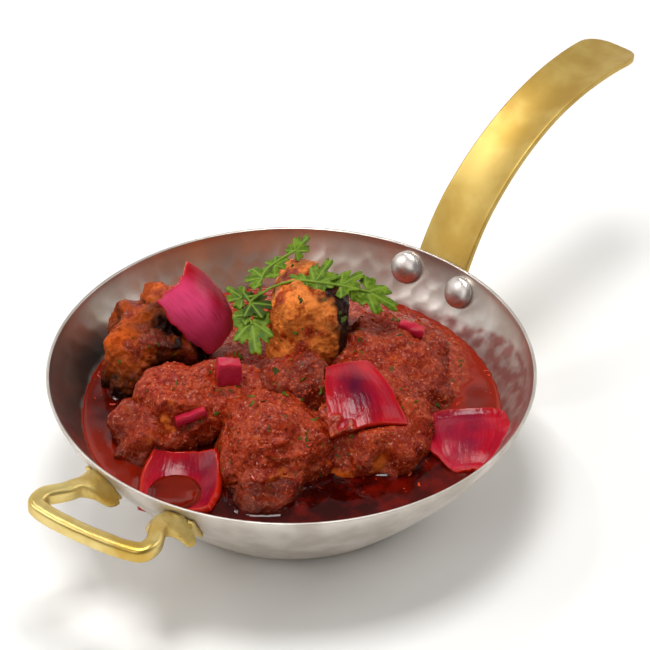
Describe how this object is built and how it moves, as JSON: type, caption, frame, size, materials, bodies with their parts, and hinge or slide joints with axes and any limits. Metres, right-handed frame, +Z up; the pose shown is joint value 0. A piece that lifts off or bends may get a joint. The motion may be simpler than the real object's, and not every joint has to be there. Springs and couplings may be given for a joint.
{
  "type": "chicken curry in a serving pan",
  "caption": "Chicken curry with onion petals and coriander in a small hammered steel pan with a long brass handle and a brass helper handle.",
  "frame": {"origin": "centre of the pan's flat base, on the surface it stands on", "axes": "+X along the long handle, +Z up out of the pan"},
  "size_m": [0.3239, 0.18, 0.0928],
  "materials": {
    "pan_steel": "hammered and satin",
    "rivet_steel": "polished domes",
    "brass": "cast and polished",
    "gravy": "wet, oily",
    "chicken": "moist, sauce coated",
    "onion": "wet skin",
    "coriander": "fresh leaf"
  },
  "bodies": {
    "root": {"pan": "pan_steel", "handle_long": "brass", "handle_helper": "brass", "rivet_handle_1": "rivet_steel", "rivet_helper_1": "rivet_steel", "rivet_handle_2": "rivet_steel", "rivet_helper_2": "rivet_steel", "onion_standing": "onion", "onion_top": "onion", "onion_floating": "onion", "onion_cup": "onion", "onion_cube": "onion", "onion_sliver_front": "onion", "onion_sliver_right": "onion", "chicken_back": "chicken", "chicken_left": "chicken", "chicken_knuckle": "chicken", "chicken_front": "chicken", "chicken_tip": "chicken", "chicken_ridge": "chicken", "chicken_shelf": "chicken", "chicken_right": "chicken", "chicken_middle": "chicken", "chicken_slope": "chicken", "gravy": "gravy", "coriander_sprig": "coriander"}
  },
  "joints": []
}
